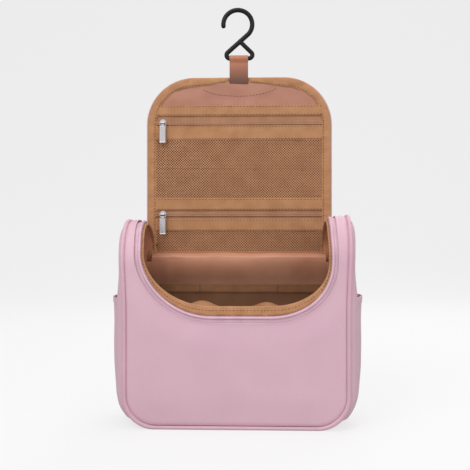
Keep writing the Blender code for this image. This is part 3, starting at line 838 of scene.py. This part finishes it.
front_band = slab("front_pocket_hem", lambda s: inner_half, hem_low, 0.1282, wavy_front,
                  lambda x, s, near, side: 0.0012, 0.0013, tan, rows=14, columns=120)
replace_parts(front_band, "front_pocket_band")

# ------------------------------------------------------------------ lid
# Pink leather over foam, faced with the satin lining. It is one soft panel that bends in two
# places, so each layer is made in three lengths.
sections = (  # label, low, high, the two bodies, and where the bend starts and ends
    ("rear", 0.0, 0.038, "case", "lid_rear", 0.0, 0.035),
    ("middle", 0.038, 0.107, "lid_rear", "lid_middle", 0.058, 0.100),
    ("front", 0.107, 0.214, "lid_middle", "lid_front", 0.1165, 0.1585),
)
leather_end, satin_end = 0.2070, 0.2060


def on_lid(x, s, rise):
    """A place on the lid: s runs from the hinge to the free end, rise from its back forwards."""
    return Vector((x, reach - rise, hinge_z + s))


def bend(piece, section):
    """Bakes a lid piece's placement into its mesh."""
    _, _, _, first, second, start, end = section
    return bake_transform(piece)


def lid_half(half, end, corner):
    """The half width of a lid panel with round corners at its free end."""
    width = cup_half(half, -end, corner)
    return lambda s: width(-s)


def lid_edge(half, end, corner, start=0.0):
    """A U-shaped edge round the lid, as a function of t."""
    edge = cup(half, -end, corner, -start)

    def flipped(t):
        x, s = edge(t)
        return x, -s

    return flipped


leather_shape = lid_half(0.0990, 0.2065, 0.0465)
satin_shape = lid_half(0.0985, satin_end, 0.0460)


def lid_back(x, s, near, side):
    """The padded back: full in the middle, turned in at the edge."""
    edge = min(side, leather_end - s)
    return -0.0012 * rising(edge, 0.03) + 0.0012 * (1 - rising(edge, 0.003)) - \
        soft_noise(x, s, 0.04, 0.0006, 37) * rising(edge, 0.01)


def lid_face(x, s, near, side):
    return 0.0033 + soft_noise(x, s, 0.022, 0.0009, 41) * rising(side, 0.01)


lid_satin = satin("lid_satin", linear(192, 135, 112), linear(168, 111, 91), 0.45)
shaded = satin("shaded_satin", linear(104, 56, 40), linear(84, 43, 30), 0.6)
for section in sections:
    label, low, high = section[:3]
    skin = slab("lid_leather_" + label, leather_shape, max(low, 0.0003), min(high, leather_end), on_lid,
                lid_back, -hide, pink, None, rows=40, columns=70)
    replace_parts(skin, "lid_outer_" + label, "lid_foam_" + label)
    bend(skin, section)
    face = slab("lid_satin_" + label, satin_shape, max(low, 0.004), min(high, satin_end), on_lid,
                lid_face, satin_ply, shaded, None, rows=40, columns=70)
    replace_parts(face, "lid_lining_" + label)
    bend(face, section)

# ------------------------------------------------------------------ lid edge
# The lid's half of the main zip, and the same tan tape as inside the mouth, rolled over the edge.


def edge_t(s, end, corner):
    """The part of a lid edge's t at which its left side reaches s."""
    return side_share / 2 * s / (end - corner)


def lid_strip(name, inner, outer, middle, thick, finish, slot, end, corner, replaced, **shape):
    """A strip round the lid in three lengths: the first two on each side, the last a U."""
    for section in sections:
        label, low, high = section[:3]
        first, last = edge_t(low, end, corner), edge_t(high, end, corner)
        if label == "front":
            spans = [("", (first, 1 - first), 220)]
        else:
            spans = [("_left", (first, last), 50), ("_right", (1 - last, 1 - first), 50)]
        for hand, span, rows in spans:
            length = 0.5 * (span[1] - span[0])
            piece = roll(f"{name}_{label}{hand}", inner, outer, on_lid, middle, thick, finish, slot,
                         None, rows=rows, span=span, cloth=(0.01, length), **shape)
            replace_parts(piece, f"{replaced}_{label}{hand}")
            bend(piece, section)


lid_strip("lid_zip_tape", lid_edge(0.0955, 0.2020, 0.0431), lid_edge(0.1085, 0.2147, 0.0558),
          level(0.0014), level(0.0005), pink_tape, "pink_tape", 0.2147, 0.0558, "lid_zip",
          columns=14, square=0.3)


def lid_gathers(x, s):
    return soft_noise(x, s, 0.009, 0.0011, 43) + soft_noise(x, s, 0.0036, 0.0006, 47)


rim_outer = lid_edge(0.1070, 0.2136, 0.0548)


def rim_inner(t, straight=lid_edge(0.0962, 0.2022, 0.0434)):
    """The tape's inner edge, which rises to the strap's foot at the middle of the end."""
    x, s = straight(t)
    return x, s + 0.0052 * (1 - rising(abs(x) - 0.010, 0.045)) * rising(s - 0.185, 0.01)


def at_strap(x, s):
    """1 where the strap lies over the tape, 0 away from it."""
    return (1 - rising(abs(x) - 0.0105, 0.006)) * rising(s - 0.19, 0.005)


def rim_middle(x, s, near, far):
    return 0.0056 - 0.0022 * at_strap(x, s) + lid_gathers(x, s) * (1 - at_strap(x, s))


def rim_thick(x, s, near, far):
    return 0.0024 - 0.0008 * at_strap(x, s)


lid_strip("lid_binding_tape", rim_inner, rim_outer, rim_middle, rim_thick, tan, "tan_binding",
          0.2136, 0.0548, "lid_binding", columns=24, square=0.75)
rim_seam = seam_line(rim_inner, rim_outer, 0.2, rim_middle, rim_thick, 0.75)
coil_line = lid_edge(0.1068, 0.2133, 0.0543)
for section in sections:
    label, low, high = section[:3]
    bend(stitches("lid_binding_stitches_" + label, [rim_seam], on_lid, None, None,
                  wanted=lambda x, s: low <= s < high), section)
    bend(beads("lid_zip_coil_" + label, [coil_line], on_lid, 0.0006, coil_gap, coil_size, coil_finish,
               None, across=True, wanted=lambda x, s: low <= s < high), section)

# ------------------------------------------------------------------ lid pockets
# Two net pockets, each closed by a coil zip between two folded bands of tan cloth. The loose satin
# patch above them has a curved row of stitches, which holds the strap's anchor.
pocket_half, net_flat_width = 0.0975, 0.195


def band_rise(x, s, near, side):
    return 0.0072 + 0.0006 * rising(near, 0.0012) + soft_noise(x, s, 0.02, 0.0004, 53)


bands = (
    ("lower_band_below", 0.0345, 0.0490, None, "lid_rear", "lower_pocket_band_below"),
    ("lower_band_above", 0.0588, 0.0730, sections[1], None, "lower_pocket_band_above"),
    ("upper_band_below", 0.1408, 0.1578, sections[2], None, "upper_pocket_band_below"),
    ("upper_band_above", 0.1690, 0.1812, None, "lid_front", "upper_pocket_band_above"),
)
row_inset, row_end = 0.0014, pocket_half - 0.002
for name, low, high, section, body, node in bands:
    band = slab(name, lambda s: pocket_half, low, high, on_lid, band_rise, 0.0012, tan,
                body, rows=14, columns=110)
    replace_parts(band, node)
    rows = [lambda t, s=s: ((2 * t - 1) * row_end, s) for s in (low + row_inset, high - row_inset)]
    seams = stitches(name + "_stitches", rows, on_lid,
                     lambda x, s: band_rise(x, s, row_inset, 1) + 0.0001, body)
    if section:
        bend(band, section)
        bend(seams, section)


def net_rise(x, s):
    return 0.0068 + soft_noise(x, s, 0.03, 0.0006, 59)


nets = (
    ("lower_net", 0.0055, 0.0352, sections[0], "lower_mesh", 0.0305),
    ("upper_net_below", 0.0722, 0.107, sections[1], "upper_mesh", 0.036),
    ("upper_net_above", 0.107, 0.1418, sections[2], None, 0.036),
)
for name, low, high, section, node, length in nets:
    net = net_piece(name, pocket_half, low, high, on_lid, net_rise, net_finish, None)
    if node:
        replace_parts(net, node)
    bend(net, section)

zip_tape = fabric("tan_zip_tape", linear(186, 136, 100), linear(160, 110, 78), 0.6, 1300.0)
tan_coil = speckled("tan_coil", linear(110, 70, 46), linear(150, 100, 70), 0.42, 700.0)
pocket_zips = (("lower", 0.0539, "lid_rear"), ("upper", 0.1606, "lid_front"))
coil_half = 0.094
for label, along, body in pocket_zips:
    for part, near, far in (("below", -0.0058, -0.0001), ("above", 0.0001, 0.0092)):
        tape = slab(f"{label}_zip_tape_{part}", lambda s: pocket_half, along + near, along + far, on_lid,
                    lambda x, s, near, side: 0.0058 + 0.0018 * (1 - rising(abs(s - along) - 0.0019, 0.0005)),
                    0.0005, zip_tape, body, rows=48, columns=60)
        if part == "below":
            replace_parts(tape, label + "_pocket_zip")
    teeth = [lambda t, s=s: (2 * coil_half * (t + 0.0016) - coil_half, s)
             for s in (along - 0.0008, along + 0.0008)]
    beads(label + "_zip_coil", teeth, on_lid, 0.0058, coil_gap, (0.0010, 0.0005, 0.0006), tan_coil,
          body, across=True)


def patch_rise(x, s, near, side):
    """Loose satin, gathered a little where the band holds it down."""
    gathered = soft_noise(x, s * 0.25, 0.0045, 0.0007, 67) * (1 - rising(s - 0.181, 0.008))
    return 0.0064 + (soft_noise(x, s, 0.018, 0.0013, 61) + gathered) * rising(side, 0.01)


anchor_row = [lambda t: (0.045 * cos(pi * t), 0.2045 - 0.0125 * sin(pi * t))]
dark_thread = speckled("terracotta_thread", linear(104, 58, 46), linear(140, 84, 68), 0.6, 1500.0)
stitches("anchor_stitches", anchor_row, on_lid, lambda x, s: patch_rise(x, s, 1, 1) + 0.0002,
         "lid_front", dark_thread, wanted=lambda x, s: s < 0.2015)
hook_patch = slab("hook_patch", lid_half(0.0985, 0.2100, 0.0490), 0.1800, 0.2088, on_lid, patch_rise,
                  satin_ply, lid_satin, "lid_front", rows=40, columns=140)
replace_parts(hook_patch, "hook_pocket")

# ------------------------------------------------------------------ sliders and pulls
# Die-cast zinc, nickel plated and lightly brushed: a domed slider plate with a bridge, and a flat
# tab with bevelled edges that turns on a pin.
silver = speckled("brushed_nickel", linear(184, 178, 181), linear(204, 199, 201), 0.25, 120.0,
                  rough_range=(0.24, 0.28), stretch=(6, 6, 0.4), Metallic=1.0)


def block(model, x, y, z, bevel):
    """A box with rounded edges, from its limits on each axis."""
    size = Matrix.Diagonal((x[1] - x[0], y[1] - y[0], z[1] - z[0], 1))
    centre = Matrix.Translation(((x[0] + x[1]) / 2, (y[0] + y[1]) / 2, (z[0] + z[1]) / 2))
    made = bmesh.ops.create_cube(model, size=1, matrix=centre @ size)
    edges = {edge for corner in made["verts"] for edge in corner.link_edges}
    bmesh.ops.bevel(model, geom=list(edges), offset=bevel, segments=3, profile=0.5, affect="EDGES",
                    material=-1)


def pin(model, radius, length):
    """A round bar along x."""
    bmesh.ops.create_cone(model, cap_ends=True, segments=24, radius1=radius, radius2=radius,
                          depth=length, matrix=Matrix.Rotation(pi / 2, 4, "Y"))


def slider_shape(name, place, plate, back, body, node):
    """Two plates, with cheeks for the pin. Built about the pin, as the frame is."""
    model = bmesh.new()
    for near, far in ((plate, plate + 0.0013), (back - 0.0006, back)):
        bmesh.ops.create_cone(model, cap_ends=True, segments=40, radius1=0.0045, radius2=0.0042,
                              depth=far - near, matrix=Matrix.Translation((0, (near + far) / 2, 0))
                              @ Matrix.Rotation(pi / 2, 4, "X") @ Matrix.Diagonal((1, 1.04, 1, 1)))
    for side in (-1, 1):
        x = sorted((side * 0.0026, side * 0.0034))
        block(model, x, (-0.0014, plate + 0.0004), (-0.0017, 0.0017), 0.0003)
    pin(model, 0.0007, 0.0064)
    model.transform(place)
    piece = new_piece(name, model, silver, body, crease=35)
    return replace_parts(piece, node)


def pull_shape(name, place, body, node):
    """A flat tab with a raised rim round a window, on a barrel that turns on the pin."""
    model = bmesh.new()
    block(model, (-0.0038, 0.0038), (-0.0007, 0.0006), (-0.0232, -0.0040), 0.0005)
    faces = [f for f in model.faces if f.normal.y < -0.9 and f.calc_area() > 5e-5]
    bmesh.ops.inset_region(model, faces=faces, thickness=0.0007, depth=0)
    bmesh.ops.translate(model, verts=list({v for f in faces for v in f.verts}), vec=(0, 0.00018, 0))
    block(model, (-0.0018, 0.0018), (-0.0006, 0.0006), (-0.0046, -0.0014), 0.0003)
    pin(model, 0.0018, 0.0044)
    model.transform(place)
    piece = new_piece(name, model, silver, body, crease=12)
    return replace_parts(piece, node)


for label in ("lower", "upper"):
    low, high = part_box(label + "_slider")
    place = Matrix.Translation(((low.x + high.x) / 2, 0.0382, (low.z + high.z) / 2))
    slider_shape(label + "_zip_head", place, 0.0023, 0.0065, f"{label}_zip_slider", label + "_slider")
    pull_shape(label + "_zip_tab", place, f"{label}_zip_pull", label + "_pull")
for label, side in (("left", -1), ("right", 1)):
    tilt, pin_reach = radians(20), 0.0555
    at = Matrix.Translation((side * 0.09885, pin_reach * cos(tilt), arch_z + pin_reach * sin(tilt)))
    turned = at @ Matrix.Rotation(pi + tilt, 4, "X")
    slider_shape(label + "_main_head", turned, 0.0036, 0.0089, "main_slider_" + label,
                 label + "_main_slider")
    pull_shape(label + "_main_tab", at @ Matrix.Rotation(pi, 4, "Z"), "main_pull_" + label,
               label + "_main_pull")

# ------------------------------------------------------------------ strap
# A brown leather strip folded round the hook's bar, its two plies glued and sewn to the lid's end.
strap_low, strap_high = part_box("hang_strap")
strap_y = (strap_low.y + strap_high.y) / 2
bar_z, ply, hook_wire = 0.4108, 0.0013, 0.0027
neck_rise, neck_length = 0.0060, 0.0068  # where the plies part to pass round the bar
# The strap's colour has painted shade towards its foot and a painted highlight near the bar.
strap_finish = leather("brown_strap", linear(170, 110, 84), linear(146, 90, 66), 0.42, cells=1500.0,
                       depth=0.00005, shade_and_highlight_heights=(0.384, 0.409))


def strap_line(t):
    """The strip's own line as (y, z), up the front ply, round the bar and down the back ply."""
    bottom, neck, turn_radius = strap_low.z + 0.0042, bar_z - neck_rise, hook_wire + 0.0003 + ply / 2
    lengths = (neck - bottom, neck_length, pi * turn_radius * 1.1, neck_length, neck - bottom)
    gap = ply / 2 + 0.0001
    way = t * sum(lengths)
    if way < lengths[0]:
        return strap_y - gap, bottom + way
    way -= lengths[0]
    if way < lengths[1]:
        share = rising(way, neck_length)
        return strap_y - gap - (turn_radius - gap) * share, neck + neck_rise * way / neck_length
    way -= lengths[1]
    if way < lengths[2]:
        turn = pi * way / lengths[2]
        return strap_y - turn_radius * cos(turn), bar_z + turn_radius * sin(turn)
    way -= lengths[2]
    if way < lengths[3]:
        share = rising(way, neck_length)
        return strap_y + turn_radius + (gap - turn_radius) * share, bar_z - neck_rise * way / neck_length
    return strap_y + gap, neck - min(way - lengths[3], lengths[4])


model = bmesh.new()
bmesh.ops.create_grid(model, x_segments=24, y_segments=120, size=1)
for corner in model.verts:
    y, z = strap_line((corner.co.y + 1) / 2)
    corner.co = (corner.co.x * (strap_high.x - strap_low.x) / 2, y, z)
model.normal_update()
bmesh.ops.solidify(model, geom=model.faces, thickness=ply)
model.normal_update()
edges = [e for e in model.edges if len(e.link_faces) == 2 and e.calc_face_angle(0) > 1.2]
bmesh.ops.bevel(model, geom=edges, offset=0.00035, segments=2, profile=0.5, affect="EDGES", material=-1)
strap = new_piece("strap_strip", model, strap_finish, "strap", crease=60)
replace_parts(strap, "hang_strap")

# ------------------------------------------------------------------ hook
# Moulded black nylon: a round crook whose lower end closes in a triangle through the strap.
hook_y = (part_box("hook")[0].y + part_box("hook")[1].y) / 2
black = speckled("black_nylon", linear(9, 9, 11), linear(17, 17, 20), 0.42, 900.0,
                 rough_range=(0.36, 0.5), bump=0.00005, Specular_IOR_Level=0.28)


def rounded(points, radii):
    """A flat path through points, with an arc at each inner one."""
    path = [Vector(points[0])]
    for before, corner, after, radius in zip(points, points[1:], points[2:], radii):
        before, corner, after = Vector(before), Vector(corner), Vector(after)
        one, two = (before - corner).normalized(), (after - corner).normalized()
        half_angle = one.angle(two) / 2
        back = radius * cos(half_angle) / sin(half_angle)
        centre = corner + (one + two).normalized() * (radius / sin(half_angle))
        start, end = corner + one * back, corner + two * back
        for i in range(13):
            path.append(centre + (start - centre).slerp(end - centre, i / 12) * radius)
    return [*path, Vector(points[-1])]


def wire(model, flat_points, radius, sides=20):
    """A round bar along a flat path, with round ends."""
    points = [Vector((p[0], hook_y, p[1])) for p in flat_points]
    start = points[0] - (points[1] - points[0]).normalized() * radius
    spots = [(start, 0.02)] + [(points[0] - (points[0] - start) * sin(a), cos(a)) for a in (1.1, 0.75, 0.4)]
    spots += [(p, 1.0) for p in points]
    rings = []
    for i, (spot, share) in enumerate(spots):
        before, after = spots[max(i - 1, 0)][0], spots[min(i + 1, len(spots) - 1)][0]
        ahead = (after - before).normalized()
        turn = Matrix((ahead.cross(Vector((0, 1, 0))), Vector((0, 1, 0)), ahead)).transposed().to_4x4()
        ring = bmesh.ops.create_circle(model, cap_ends=False, segments=sides, radius=radius * share,
                                       matrix=Matrix.Translation(spot) @ turn)["verts"]
        rings.append(list({edge for corner in ring for edge in corner.link_edges}))
    for first, second in zip(rings, rings[1:]):
        bmesh.ops.bridge_loops(model, edges=first + second)
    bmesh.ops.holes_fill(model, edges=[e for e in model.edges if e.is_boundary], sides=0)


crook_x, crook_z, crook_radius, corner_radius = -0.0012, 0.4504, 0.0168, 0.0040
crook = [(crook_x + crook_radius * cos(radians(a)), crook_z + crook_radius * sin(radians(a)))
         for a in [186 - 228 * i / 60 for i in range(61)]]
foot = rounded([crook[-1], (-0.0208, bar_z), (0.0040, bar_z)], [corner_radius])
strut = rounded([(0.0012, 0.4307), (0.0216, bar_z), (0.0, bar_z)], [corner_radius])
for name, path, radius in (("hook_crook", [*crook[:-1], *foot], hook_wire),
                           ("hook_strut", strut, 0.96 * hook_wire)):
    model = bmesh.new()
    wire(model, path, radius)
    piece = new_piece(name, model, black, "hook", crease=60)
    if name == "hook_crook":
        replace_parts(piece, "hook")

low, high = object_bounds()
{"cad": [list(cad_low), list(cad_high)], "visual": [list(low), list(high)]}
